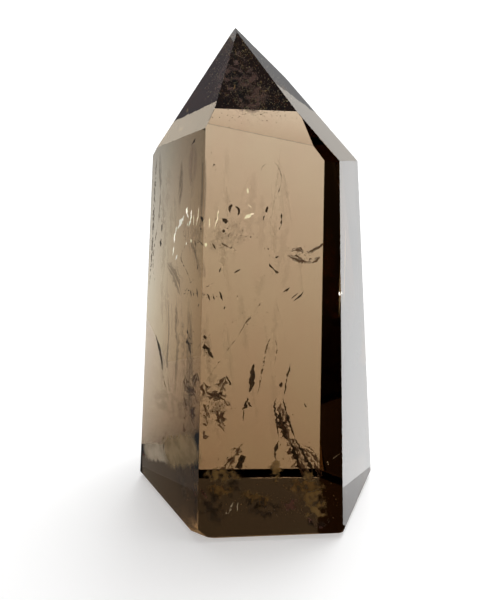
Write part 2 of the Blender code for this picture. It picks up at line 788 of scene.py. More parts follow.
@dataclass(frozen=True)
class OpenCracks(Marks):
    """The small open cracks that look dark because no light comes through them."""

    arch_left: Ribbon = strip(0.42, (230, 214), (230, 207), (233, 205), ragged=0.5)
    arch_right: Ribbon = strip(0.42, (235, 206), (239, 209), (238, 216), ragged=0.5)
    wedge: Ribbon = strip(0.5, (222, 218), (225, 221), (226, 224), ragged=0.6)
    wedge_drop: Ribbon = strip(0.25, (224, 229), (223.5, 233), ragged=0.6)
    tick: Ribbon = strip(0.22, (212, 243), (216, 250), ragged=0.3)
    bead_top: Ribbon = strip(0.4, (268, 206), (266, 213), ragged=0.6)
    bead_low: Ribbon = strip(0.26, (264.5, 215), (263, 221), ragged=0.5)
    knot: Ribbon = strip(0.34, (281, 212), (282, 222), (279, 230), ragged=0.9)
    hook_top: Ribbon = strip(0.24, (279, 256), (275, 258), ragged=0.6)
    hook: Ribbon = strip(0.3, (269, 262), (271, 267), (277, 272), (279, 273), ragged=0.8)
    dash: Ribbon = strip(0.3, (234, 273), (237, 271), (241, 269), ragged=0.5)
    dash_left: Ribbon = strip(0.22, (219, 273), (221, 267), ragged=0.4)
    stroke_one: Ribbon = strip(0.26, (208, 294), (210, 301), ragged=0.4)
    stroke_two: Ribbon = strip(0.2, (213, 295), (214.5, 300), ragged=0.4)
    stroke_three: Ribbon = strip(0.26, (219.5, 291), (221, 296), (222.7, 301), ragged=0.3)
    stroke_four: Ribbon = strip(0.24, (225, 306), (224, 310), ragged=0.5)
    slash: Ribbon = strip(0.26, (293, 301.5), (299, 297), (304, 291), ragged=0.4)
    slash_twin: Ribbon = strip(0.16, (291, 299), (298, 293), ragged=0.4)
    faint_slash: Ribbon = strip(0.28, (283, 293), (290, 287), ragged=0.7)
    blade_top: Ribbon = strip(0.4, (204, 334.5), (206, 339.5), ragged=0.6)
    blade: Ribbon = strip(0.45, (205, 344.5), (208.5, 350.5), (213.5, 359), ragged=0.5)
    blade_chip: Ribbon = strip(0.45, (204, 343), (204.7, 350), ragged=0.5)
    spar: Ribbon = strip(0.3, (226, 375), (231.5, 386), ragged=0.3)
    pillar: Ribbon = strip(0.85, (254, 363), (252.5, 374), (252, 385), (249, 393), ragged=0.3)
    anchor: Ribbon = strip(0.6, (248, 397), (246, 404), (242, 411), ragged=0.8)
    anchor_fluke: Ribbon = strip(0.4, (247, 402), (252, 407), ragged=0.7)
    anchor_tail: Ribbon = strip(0.2, (244, 409), (243, 422), ragged=0.4)
    stub: Ribbon = strip(0.95, (243.5, 455), (238, 469), ragged=0.25, taper=Taper.NO_END)
    fork_top: Ribbon = strip(0.3, (290.5, 362), (289, 370), (286.5, 381), (284, 396), ragged=0.9)
    fork_bead: Ribbon = strip(0.36, (281.5, 381), (281, 388), ragged=0.8)
    fork_left: Ribbon = strip(
        0.34, (276.5, 397), (274.5, 406), (276, 415), (277, 426), (279, 440), ragged=0.7
    )
    fork_foot: Ribbon = strip(0.4, (279, 440), (275.5, 449), (275, 460), ragged=0.7)
    fork_right: Ribbon = strip(
        0.34, (282.5, 397), (285, 407), (288, 418), (292, 430), (296, 441), ragged=0.6
    )
    fork_heart: Ribbon = strip(0.85, (279, 411), (281.5, 424), (288, 441), ragged=0.9)
    fork_leg: Ribbon = strip(0.5, (295, 438), (301, 450), (309, 464), (314, 474), ragged=0.8)
    fork_shin: Ribbon = strip(0.7, (291, 442), (297, 458), (303, 473), ragged=0.9)
    lone_speck: Ribbon = strip(0.22, (304.5, 403), (306.5, 408), ragged=0.6)
    left_blade: Ribbon = strip(
        0.62, (155.5, 334), (159, 347), (161.5, 359), (162.5, 372), depth=0.06, ragged=0.3
    )
    left_dash: Ribbon = strip(0.26, (196, 138), (191, 146), depth=0.06, ragged=0.5)
    left_point: Ribbon = strip(0.34, (162, 224), (161.5, 232), depth=0.1, ragged=0.5)
    left_arrow: Ribbon = strip(0.42, (161, 238), (160.5, 247), depth=0.1, ragged=0.5)
    left_lump: Ribbon = strip(1.3, (172, 446), (171, 455), (166, 466), depth=0.08, ragged=0.8)
    left_spot: Ribbon = strip(0.5, (164, 441), (163.5, 450), depth=0.08, ragged=0.7)


@dataclass(frozen=True)
class HairlinesAndRimShade(Marks):
    """The finest cracks, seen edge on as thin brown lines, and painted shade along the left outline."""

    loop_left: Ribbon = strip(0.16, (261, 171), (263, 166), (267, 163), ragged=0.8)
    loop_right: Ribbon = strip(0.12, (271, 161), (277, 165), (281, 175), (281, 184), ragged=0.8)
    loop_foot: Ribbon = strip(0.16, (281, 184), (278, 193), (274, 203), ragged=0.4)
    long_top: Ribbon = strip(0.2, (264, 299), (256, 309), (247, 321), (237, 338), ragged=1.2)
    long_low: Ribbon = strip(0.16, (237, 338), (226, 352), (216, 366), (205, 383), ragged=0.8)
    wisp: Ribbon = strip(0.2, (219, 242), (228, 247), (239, 252), ragged=0.6)
    shelf: Ribbon = strip(0.14, (205.5, 287), (209, 286), (214.5, 282), ragged=0.5)
    leaf_left: Ribbon = strip(0.3, (271, 337), (267, 346), (263.5, 363), (260, 383), (257, 396), ragged=0.3)
    leaf_right: Ribbon = strip(0.18, (275, 339), (277, 349), (274, 366), ragged=0.4)
    right_arm: Ribbon = strip(0.22, (299, 444), (311, 449), (318, 460), (324, 471), ragged=0.8)
    left_bow: Ribbon = strip(
        0.2, (162, 205), (158.5, 222), (154.5, 245), (153, 266), (155.5, 286), depth=0.08
    )
    # Painted shade: a dark line along the left outline of the stone, not a crack.
    left_rim_shade: Ribbon = strip(
        0.55, (156.4, 157), (154.8, 185), (152.6, 235), (149, 292), depth=0.05, ragged=0.4
    )
    left_rib: Ribbon = strip(0.2, (186, 243), (181, 258), (187, 272), (191, 284), depth=0.08)
    left_tail: Ribbon = strip(0.2, (162.5, 372), (165, 385), (169, 398), depth=0.06)
    left_root: Ribbon = strip(0.22, (169, 428), (163, 440), (165, 458), depth=0.08, ragged=0.6)


@dataclass(frozen=True)
class Feathers(Marks):
    """Healed cracks with a feathery grain, dark in places and bright in others."""

    right_main: Ribbon = strip(0.8, (286, 255), (295, 258), (304, 261), (312, 261), (321, 256), ragged=0.8)
    right_upper: Ribbon = strip(0.7, (291, 252), (298, 249), (304, 253), ragged=0.9)
    right_tip: Ribbon = strip(0.45, (306, 254), (316, 249), (325, 242), ragged=0.7)
    fork_web: Ribbon = strip(1.3, (281, 402), (283, 420), (289, 440), ragged=0.6)
    fork_skirt: Ribbon = strip(2.1, (287, 436), (297, 456), (309, 480), ragged=0.5)
    fork_hem: Ribbon = strip(1.3, (303, 447), (314, 460), (322, 480), ragged=0.6)
    swirl_top: Ribbon = strip(1.5, (203.5, 381), (206, 391), (214, 396), (224, 399), ragged=0.7)
    swirl: Ribbon = strip(1.2, (213, 392), (222, 398), (231, 406), ragged=0.8)
    swirl_curl: Ribbon = strip(1.1, (226, 376), (221, 387), (218, 399), ragged=0.8)
    swirl_tail: Ribbon = strip(1.1, (222, 402), (221, 417), (225, 433), ragged=0.8)
    comma_one: Ribbon = strip(0.6, (203, 404), (206, 409), (209, 419), ragged=0.7)
    comma_two: Ribbon = strip(0.5, (203, 415), (205.5, 417), (208, 425), ragged=0.7)
    comma_three: Ribbon = strip(0.4, (203, 423), (207, 426), ragged=0.7)
    comma_four: Ribbon = strip(0.6, (203, 430), (205, 437), (209, 436), ragged=0.7)
    brush: Ribbon = strip(0.9, (243, 443), (236, 452), (228, 462), ragged=0.7)
    brush_foot: Ribbon = strip(1.5, (236, 455), (226, 468), (222, 484), ragged=0.7)


@dataclass(frozen=True)
class Veils(Marks):
    """Wide thin clouds of the finest bubbles."""

    left_band: Ribbon = strip(
        6.0, (150, 398), (168, 402), (186, 404), (196, 400), depth=0.35, far=0.45, turn=10.0, wave=1.2 * MM
    )
    left_column: Ribbon = strip(
        2.4, (181, 300), (184, 350), (186, 400), (187, 440), turn=20.0, wave=1.0 * MM
    )
    middle_haze: Ribbon = strip(
        5.0, (204, 250), (226, 238), (250, 222), depth=0.5, turn=15.0, wave=1.5 * MM
    )


@dataclass(frozen=True)
class SmokeAndShadeStreaks(Marks):
    """Long soft streaks, most just under the left face: darker smoke, and painted shade that darkens it."""

    mottled: Ribbon = strip(0.9, (160, 151), (160, 172), (160.5, 194), depth=0.06, ragged=0.3)
    mottled_low: Ribbon = strip(0.6, (161, 190), (159.5, 206), (158, 222), depth=0.06, ragged=0.4)
    middle: Ribbon = strip(1.1, (182, 158), (181, 184), (179, 208), depth=0.05, ragged=0.2)
    edge: Ribbon = strip(0.7, (202.5, 142), (202.5, 175), (201.5, 205), (200, 238), depth=0.04)
    wedge: Ribbon = strip(1.1, (190, 238), (196, 258), (200, 284), depth=0.05, ragged=0.2)
    cloud: Ribbon = strip(2.6, (166, 262), (175, 276), (182, 298), depth=0.05, ragged=0.3)
    column: Ribbon = strip(1.9, (189, 292), (189.5, 340), (190, 388), (191, 432), depth=0.04)
    column_twin: Ribbon = strip(1.3, (176, 300), (177, 340), (175, 392), depth=0.05, ragged=0.3)
    thread: Ribbon = strip(0.5, (168, 296), (169, 330), (167, 366), (170, 398), depth=0.05)
    foot: Ribbon = strip(3.4, (183, 462), (182, 480), (186, 502), depth=0.1, ragged=0.2)


@dataclass(frozen=True)
class RoseStreaks(Marks):
    """Soft streaks of a rosy tint under the upper left face."""

    upper: Ribbon = strip(2.4, (194, 140), (192.5, 162), (191, 188), depth=0.04)
    lower: Ribbon = strip(1.0, (194, 244), (198, 262), (201, 280), depth=0.06)


@dataclass(frozen=True)
class PaintedCornerLight(Marks):
    """A glowing pale sheet low in the left corner: painted light, where the stone gathers light."""

    corner: Ribbon = strip(
        3.3, (142.8, 449), (157, 452), (172, 454), depth=0.06, far=0.08, ragged=0.15, taper=Taper.NO_END
    )


@dataclass(frozen=True)
class AmberGlow(Marks):
    """Browner haze beside it and a faint streak down the right face's edge, both glowing: painted light."""

    inner: Ribbon = strip(
        5.4, (162, 452), (182, 451), (199, 448), depth=0.05, far=0.04, ragged=0.1, taper=Taper.NO_END
    )
    side_edge: Ribbon = strip(0.5, (345.5, 226), (345, 262), (343.5, 318), depth=0.06)


@dataclass(frozen=True)
class TipCloudsAndGlow(Marks):
    """Faint clouds behind the tip's front face, whose glow is painted light that lifts that dark face."""

    left: Ribbon = strip(3.0, (226, 102), (230, 84), (236, 62), (239, 48), depth=0.3, ragged=0.3)
    right: Ribbon = strip(2.8, (272, 104), (258, 92), (247, 76), (242, 62), depth=0.35, ragged=0.4)
    low: Ribbon = strip(2.2, (232, 100), (250, 101), (270, 98), depth=0.3, ragged=0.5)


@dataclass(frozen=True)
class FootShadows(Marks):
    """Painted shade: dark patches low in the front of the stone, where its foot looks dark."""

    left: Ribbon = strip(3.4, (203, 488), (212, 506), (224, 528), depth=0.2, ragged=0.5)
    middle: Ribbon = strip(3.0, (244, 498), (262, 508), (284, 508), depth=0.2, ragged=0.6)
    column: Ribbon = strip(1.5, (236, 470), (234, 484), (229, 500), depth=0.15, ragged=0.7)
    right: Ribbon = strip(1.8, (306, 520), (318, 524), (332, 520), depth=0.2, ragged=0.5)


@dataclass(frozen=True)
class Stains(Marks):
    """Brown and yellow stains near the base, left by iron in the cracks."""

    beard: Ribbon = strip(1.9, (276, 457), (276, 470), (275, 486), depth=0.12, ragged=0.6)
    right_hem: Ribbon = strip(1.6, (300, 475), (308, 477), (316, 480), depth=0.06, ragged=0.5)
    left_foot: Ribbon = strip(2.4, (201.5, 475), (214, 475), (232, 476), (243, 478), depth=0.06, ragged=0.4)
    left_low: Ribbon = strip(2.6, (206, 486), (220, 490), (236, 489), depth=0.25, ragged=0.4)
    right_foot: Ribbon = strip(3.6, (298, 506), (311, 500), (328, 507), depth=0.15, ragged=0.4)
    right_low: Ribbon = strip(2.4, (304, 518), (316, 512), (328, 516), depth=0.12, ragged=0.5)
    mid_foot: Ribbon = strip(2.4, (238, 492), (256, 500), (272, 498), depth=0.25, ragged=0.5)
    grey_foot: Ribbon = strip(2.6, (281, 485), (303, 486), (328, 487), depth=0.2, ragged=0.2)


@dataclass(frozen=True)
class RedStains(Marks):
    """The few redder stains."""

    rosette: Ribbon = strip(2.0, (286, 512), (291, 505), (297, 499), depth=0.2, ragged=0.6)
    seam: Ribbon = strip(0.7, (306, 516), (315, 525), (324, 529), depth=0.12, ragged=0.5)
    left_seam: Ribbon = strip(0.45, (200, 488), (208, 500), depth=0.2, ragged=0.5)


@dataclass(frozen=True)
class Glints(Marks):
    """Flat flakes with a painted glint: they give off a light of their own."""

    comb_one: Ribbon = strip(0.34, (187.5, 207), (187, 213), (189, 219), depth=0.1, ragged=0.9)
    comb_two: Ribbon = strip(0.22, (191.5, 209), (190.7, 219), (188.5, 227), depth=0.1, ragged=0.8)
    comb_three: Ribbon = strip(0.5, (184, 215), (181, 222), (177.5, 229), depth=0.1, ragged=0.9)
    comb_four: Ribbon = strip(0.22, (177, 226), (175, 234), (174, 243), depth=0.1, ragged=0.8)
    comb_five: Ribbon = strip(0.2, (188.5, 221), (187, 226), depth=0.1, ragged=0.9)
    comb_foot: Ribbon = strip(0.24, (177.5, 255), (175, 260), depth=0.1, ragged=0.8)
    comb_drop: Ribbon = strip(0.16, (186.5, 242), (186, 245.5), depth=0.1, ragged=0.8)
    comb_last: Ribbon = strip(0.12, (174, 246), (172.6, 256), depth=0.1, ragged=0.8)
    star: Ribbon = strip(0.34, (244.4, 219), (248.8, 215.8), (254.4, 213), ragged=0.8)
    star_ray: Ribbon = strip(0.3, (251, 212.6), (250, 216), (248, 218.6), ragged=0.8)
    star_chip: Ribbon = strip(0.2, (248, 204), (251.4, 208), ragged=0.9)
    star_needle: Ribbon = strip(0.15, (247.3, 188), (248.2, 194), ragged=0.5)
    needle: Ribbon = strip(0.16, (218.7, 209), (217.2, 219), (214.4, 229), ragged=0.6)
    needle_twin: Ribbon = strip(0.1, (209.4, 217), (209.2, 229), ragged=0.9)
    bead: Ribbon = strip(0.42, (205.2, 242.6), (205.7, 247), ragged=0.3)
    side_spark: Ribbon = strip(0.22, (341.5, 291), (342, 295), depth=0.03, ragged=0.3)


@dataclass(frozen=True)
class DullGlints(Marks):
    """Duller, warmer flakes near the foot, with a fainter painted glint of their own."""

    foot_spark: Ribbon = strip(0.26, (233, 502), (231, 508), (227.5, 514.5), depth=0.12, ragged=1.1)
    foot_spark_twin: Ribbon = strip(0.13, (238, 502), (237, 511), depth=0.12, ragged=0.9)
    foot_spark_low: Ribbon = strip(0.12, (227, 510), (225.5, 516), depth=0.12, ragged=0.9)
    skirt_spark: Ribbon = strip(0.1, (301, 456), (304.5, 464), (309, 471), depth=0.3, ragged=1.0)
    heart_spark: Ribbon = strip(0.14, (284, 415), (283, 421), depth=0.3, ragged=1.0)
    band_spark: Ribbon = strip(0.24, (327.3, 461), (328.4, 465), depth=0.3, ragged=0.7)
    band_streak: Ribbon = strip(0.12, (331, 460), (341, 453), depth=0.3, ragged=0.8)


@dataclass(frozen=True)
class GrowthLines(Marks):
    """Faint upright lines that the crystal grew with, laid by chance.

    across and down are the stretch of the picture that they cover, length their
    shortest and longest, slant how far one leans at most and bend how far its middle
    strays to a side, all in pixels. width is their narrowest and widest, and depth
    how far through the stone the nearest and the farthest lie.
    """

    count: int
    seed: int
    across: Span
    down: Span
    depth: Span
    length: Span = (26.0, 84.0)
    width: Span = (0.25 * MM, 1.5 * MM)
    slant: float = 5.0
    bend: float = 1.0

    def ribbons(self) -> Iterator[Ribbon]:
        """Yield the lines."""
        dice = random.Random(self.seed)
        for _ in range(self.count):
            x = dice.uniform(*self.across)
            top = dice.uniform(self.down[0], self.down[1] - self.length[1])
            foot = top + dice.uniform(*self.length)
            aside = dice.uniform(-self.slant, self.slant)
            middle = (x + dice.uniform(-self.bend, self.bend), (top + foot) / 2)
            route = ((x - aside / 2, top), middle, (x + aside / 2, foot))
            deep = dice.uniform(*self.depth)
            yield Ribbon(route, dice.uniform(*self.width), (deep, deep), ragged=0.5)


@dataclass(frozen=True)
class Swarm:
    """A cloud of tiny flecks about one place in the stone.

    centre is where it shows in the picture, and spread its reach along X, Y and Z.
    size is the largest fleck's length.
    """

    centre: Pixel
    depth: float
    spread: Vector
    count: int
    size: float


@dataclass(frozen=True)
class Flecks:
    """Swarms of tiny flecks, each a flattened grain.

    flatness and breadth are shares of a fleck's length, and smallest is the share of
    the largest fleck's length that the smallest one has.
    """

    name: str
    swarms: tuple[Swarm, ...]
    seed: int
    flatness: float = 0.3
    smallest: float = 0.25
    breadth: Span = (0.35, 0.8)

    def build(self, sightlines: Sightlines, finish: MarkFinish) -> bpy.types.Object:
        """Build every swarm as one piece.

        Args:
            sightlines: What finds the swarms' places.
            finish: What the flecks are dressed in.

        Returns:
            The piece.
        """
        dice = random.Random(self.seed)
        bm = bmesh.new()
        for swarm in self.swarms:
            centre = sightlines.inside(swarm.centre, swarm.depth)
            for _ in range(swarm.count):
                self._add_fleck(bm, sightlines, swarm, centre, dice)
        return make_piece(self.name, bm, finish)

    def _add_fleck(
        self,
        bm: bmesh.types.BMesh,
        sightlines: Sightlines,
        swarm: Swarm,
        centre: Vector,
        dice: random.Random,
    ) -> None:
        """Add one fleck at a random place in its swarm.

        Args:
            bm: Where it is added.
            sightlines: What keeps it inside the stone.
            swarm: The swarm that it belongs to.
            centre: The swarm's middle.
            dice: The source of chance.
        """
        offset = Vector([dice.gauss(0.0, 0.5) * reach for reach in swarm.spread])
        size = swarm.size * (self.smallest + (1.0 - self.smallest) * dice.random() ** 2)
        turn = Euler([dice.uniform(0.0, math.tau) for _ in range(3)]).to_matrix().to_4x4()
        broad = size * dice.uniform(*self.breadth)
        shape = Matrix.Diagonal((size, broad, size * self.flatness, 1.0))
        place = Matrix.Translation(sightlines.keep_in(centre + offset))
        bmesh.ops.create_icosphere(bm, subdivisions=1, radius=0.5, matrix=place @ turn @ shape)


DARK_FLECKS = Flecks(
    "dark_flecks",
    (
        Swarm((236, 238), 0.45, Vector((2.4, 1.5, 1.8)) * MM, 60, 0.3 * MM),
        Swarm((205, 297), 0.4, Vector((1.5, 1.0, 0.5)) * MM, 36, 0.28 * MM),
        Swarm((215, 402), 0.45, Vector((2.2, 1.5, 2.6)) * MM, 90, 0.34 * MM),
        Swarm((184, 405), 0.4, Vector((2.2, 1.5, 2.2)) * MM, 60, 0.3 * MM),
        Swarm((186, 236), 0.3, Vector((1.0, 1.0, 1.8)) * MM, 40, 0.26 * MM),
        Swarm((246, 312), 0.45, Vector((2.6, 1.5, 2.0)) * MM, 30, 0.26 * MM),
        Swarm((298, 455), 0.4, Vector((2.4, 1.5, 2.4)) * MM, 80, 0.32 * MM),
        Swarm((230, 470), 0.35, Vector((2.6, 1.5, 1.6)) * MM, 70, 0.34 * MM),
        Swarm((304, 252), 0.4, Vector((1.8, 1.0, 0.8)) * MM, 36, 0.26 * MM),
        Swarm((203, 160), 0.2, Vector((0.3, 0.4, 2.0)) * MM, 16, 0.26 * MM),
        Swarm((284, 424), 0.4, Vector((1.0, 0.8, 3.0)) * MM, 70, 0.3 * MM),
        Swarm((270, 262), 0.4, Vector((1.4, 1.0, 3.0)) * MM, 24, 0.22 * MM),
        Swarm((205, 350), 0.3, Vector((0.8, 0.8, 2.6)) * MM, 36, 0.3 * MM),
        Swarm((168, 455), 0.1, Vector((1.6, 0.8, 1.2)) * MM, 60, 0.34 * MM),
    ),
    seed=11,
)

TIP_FLECKS = Flecks(
    "tip_flecks",
    (
        Swarm((240, 78), 0.5, Vector((4.2, 2.2, 4.4)) * MM, 620, 0.22 * MM),
        Swarm((262, 98), 0.4, Vector((4.2, 2.0, 2.4)) * MM, 620, 0.22 * MM),
    ),
    seed=23,
)

BASE_FLECKS = Flecks(
    "base_flecks",
    (
        Swarm((230, 500), 0.3, Vector((6.0, 2.5, 2.2)) * MM, 220, 0.3 * MM),
        Swarm((300, 505), 0.3, Vector((6.0, 2.5, 2.0)) * MM, 220, 0.3 * MM),
    ),
    seed=37,
)

FRONT_LINES = GrowthLines(26, 5, (212.0, 302.0), (132.0, 460.0), (0.15, 0.6), slant=12.0)
LEFT_LINES = GrowthLines(22, 8, (160.0, 193.0), (162.0, 430.0), (0.05, 0.25))

CRACK_DARK = MarkFinish(
    "open_crack", (0.008, 0.005, 0.003), (0.1, 0.06, 0.03), grain=0.35 * MM,
    cover=0.97, soft_rim=0.3, roughness=0.4,
)
# Brown of the hairlines, and painted shade of the line along the left outline.
HAIRLINE_AND_RIM_SHADE = MarkFinish(
    "hairline", (0.035, 0.02, 0.009), (0.16, 0.1, 0.045), grain=0.6 * MM,
    cover=0.78, thinning=0.5, soft_rim=0.3,
)
FEATHER_GRAIN = MarkFinish(
    "feather", (0.008, 0.004, 0.003), (0.25, 0.15, 0.1), Pattern.STREAK, grain=0.26 * MM,
    cover=0.95, thinning=0.42, soft_rim=0.35,
)
VEIL_MIST = MarkFinish(
    "veil", (0.08, 0.055, 0.03), (0.26, 0.21, 0.15), grain=1.0 * MM,
    cover=0.22, thinning=0.6, soft_rim=0.9, roughness=0.8,
)
# Real stain colour, with a faint glow: painted light that lifts the stains near the base.
OCHRE = MarkFinish(
    "ochre_stain", (0.06, 0.033, 0.012), (0.27, 0.165, 0.052), grain=1.1 * MM,
    cover=0.85, thinning=0.12, soft_rim=0.8, roughness=0.8, glow=0.14,
)
RUST = MarkFinish(
    "rust_stain", (0.09, 0.035, 0.028), (0.24, 0.11, 0.09), grain=1.0 * MM,
    cover=0.75, thinning=0.25, soft_rim=0.8, roughness=0.8,
)
# Partly painted light: the growth lines' faint glow makes them show lighter.
GROWTH = MarkFinish(
    "growth_line", (0.1, 0.065, 0.035), (0.5, 0.4, 0.28), Pattern.STREAK, grain=0.35 * MM,
    cover=0.22, thinning=0.4, soft_rim=0.9, roughness=0.8, glow=0.22,
)
GROWTH_FAINT = MarkFinish(
    "faint_growth_line", (0.2, 0.13, 0.08), (0.5, 0.4, 0.28), Pattern.STREAK, grain=0.5 * MM,
    cover=0.13, thinning=0.3, soft_rim=0.9, roughness=0.8, glow=0.25,
)
# Partly painted shade: these streaks darken the left face as well as streaking it.
SMOKE_AND_SHADE = MarkFinish(
    "smoke_and_shade_streak", (0.045, 0.029, 0.014), (0.2, 0.14, 0.085), Pattern.STREAK, grain=0.5 * MM,
    cover=0.5, thinning=0.3, soft_rim=0.9, roughness=0.8,
)
ROSE = MarkFinish(
    "rose_streak", (0.2, 0.1, 0.085), (0.34, 0.2, 0.17), Pattern.STREAK, grain=1.2 * MM,
    cover=0.36, thinning=0.2, soft_rim=0.9, roughness=0.8,
)
# Painted light: a pale glowing sheet that stands for the light gathered low in the left corner.
PAINTED_CORNER_LIGHT = MarkFinish(
    "painted_corner_light", (0.3, 0.25, 0.18), (0.42, 0.36, 0.27), grain=2.4 * MM,
    cover=0.85, soft_rim=0.6, roughness=0.8, glow=0.58,
)
# Painted light: a glowing amber sheet beside the pale one, and a glowing brown streak.
AMBER_GLOW = MarkFinish(
    "amber_glow_haze", (0.17, 0.115, 0.05), (0.27, 0.19, 0.095), grain=2.4 * MM,
    cover=0.85, soft_rim=0.6, roughness=0.8, glow=0.5,
)
# Partly painted light: the clouds' faint glow brightens the dark front face of the tip.
TIP_CLOUD_AND_GLOW = MarkFinish(
    "tip_cloud", (0.05, 0.03, 0.03), (0.2, 0.13, 0.12), grain=0.7 * MM,
    cover=0.7, thinning=0.5, soft_rim=0.9, roughness=0.8, glow=0.1,
)
# Painted shade: dark sheets that darken the front of the foot.
FOOT_DARK = MarkFinish(
    "foot_shadow", (0.006, 0.003, 0.002), (0.03, 0.017, 0.008), grain=0.9 * MM,
    cover=0.8, thinning=0.4, soft_rim=0.9, roughness=0.8,
)
# Painted glint: the flakes give off bright light of their own.
GLINT = MarkFinish(
    "flake", (0.8, 0.88, 0.7), (1.0, 0.96, 0.9), grain=0.5 * MM,
    soft_rim=0.12, roughness=0.2, metallic=1.0, glow=0.8,
)
# Painted glint, dimmer and warmer: the foot's flakes give off a faint light.
GLINT_DULL = MarkFinish(
    "dull_flake", (0.12, 0.08, 0.045), (0.6, 0.5, 0.36), grain=0.4 * MM,
    cover=0.9, thinning=0.2, soft_rim=0.2, roughness=0.3, metallic=0.6, glow=0.22,
)
FLECK_DARK = MarkFinish("dark_fleck", (0.01, 0.006, 0.004), (0.09, 0.05, 0.02), grain=1.1 * MM)
# Partly painted light: the gold flecks' faint glow is a painted sparkle in the tip.
FLECK_GOLD = MarkFinish(
    "gold_fleck", (0.16, 0.11, 0.1), (0.36, 0.36, 0.2), grain=0.6 * MM,
    roughness=0.3, glow=0.12,
)
# Partly painted light: the brown flecks give off a very faint glow.
FLECK_BROWN = MarkFinish(
    "brown_fleck", (0.03, 0.016, 0.008), (0.3, 0.19, 0.09), grain=0.8 * MM, glow=0.05
)


@dataclass
class Stone:
    """The stone itself, dressed in polished quartz."""

    finish: QuartzFinish = field(default_factory=QuartzFinish)

    def dress(self, node: bpy.types.Object) -> None:
        """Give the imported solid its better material.

        Args:
            node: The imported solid.
        """
        node.data.materials.clear()
        node.data.materials.append(self.finish.material())
        logger.info("%s: dressed in polished quartz", node.name)


class Seen(Enum):
    """Where a card of the studio shows. Outside the stone it never does."""

    IN_GLOSS = "in_gloss"
    THROUGH_STONE = "through_stone"


@dataclass(frozen=True)
class Card:
    """A flat card of the studio, which lights or darkens some faces of the stone.

    corners are in order round the card, in metres. brightness 0 is a black flag, and
    far_brightness is the value that it fades to away from the stone.
    """

    name: str
    corners: tuple[Vector, ...]
    seen: Seen
    brightness: float
    tint: Colour = WHITE
    far_brightness: float | None = None


def on_floor(drop: float, *plan: tuple[float, float]) -> tuple[Vector, ...]:
    """Return the corners of a card that lies on the floor.

    Args:
        drop: How far it lies below the base of the stone, in millimetres.
        plan: Its corners, in order round it, in millimetres. Two of them stand for
            the low and the high corner of an oblong.

    Returns:
        The four corners, in metres.
    """
    if len(plan) == 2:
        low, high = plan
        plan = (low, (high[0], low[1]), high, (low[0], high[1]))
    return tuple(Vector((x, y, -drop)) * MM for x, y in plan)


def standing(azimuth: float, distance: float, *corners: tuple[float, float]) -> tuple[Vector, ...]:
    """Return the corners of a card that stands facing the stone.

    Args:
        azimuth: The direction that it stands in, in degrees from +Y towards +X.
        distance: How far away it stands, in millimetres.
        corners: Its corners, as steps to the right and up, in millimetres.

    Returns:
        The corners, in metres.
    """
    turn = math.radians(azimuth)
    away = Vector((math.sin(turn), math.cos(turn), 0.0))
    right = Vector((math.cos(turn), -math.sin(turn), 0.0))
    up = Vector((0.0, 0.0, 1.0))
    return tuple((away * distance + right * x + up * z) * MM for x, z in corners)


def card_finish(
    name: str, brightness: float = 0.0, tint: Colour = WHITE
) -> tuple[bpy.types.Material, Graph]:
    """Make a card's finish, which is black but for the even light that it gives off.

    Args:
        name: The finish's name.
        brightness: How strong its light is.
        tint: The light's colour.

    Returns:
        The material, and its graph.
    """
    return surface(name, {
        "Base Color": (0.0, 0.0, 0.0, 1.0),
        "Roughness": 1.0,
        "Specular IOR Level": 0.0,
        "Emission Color": (*tint, 1.0),
        "Emission Strength": brightness,
    })


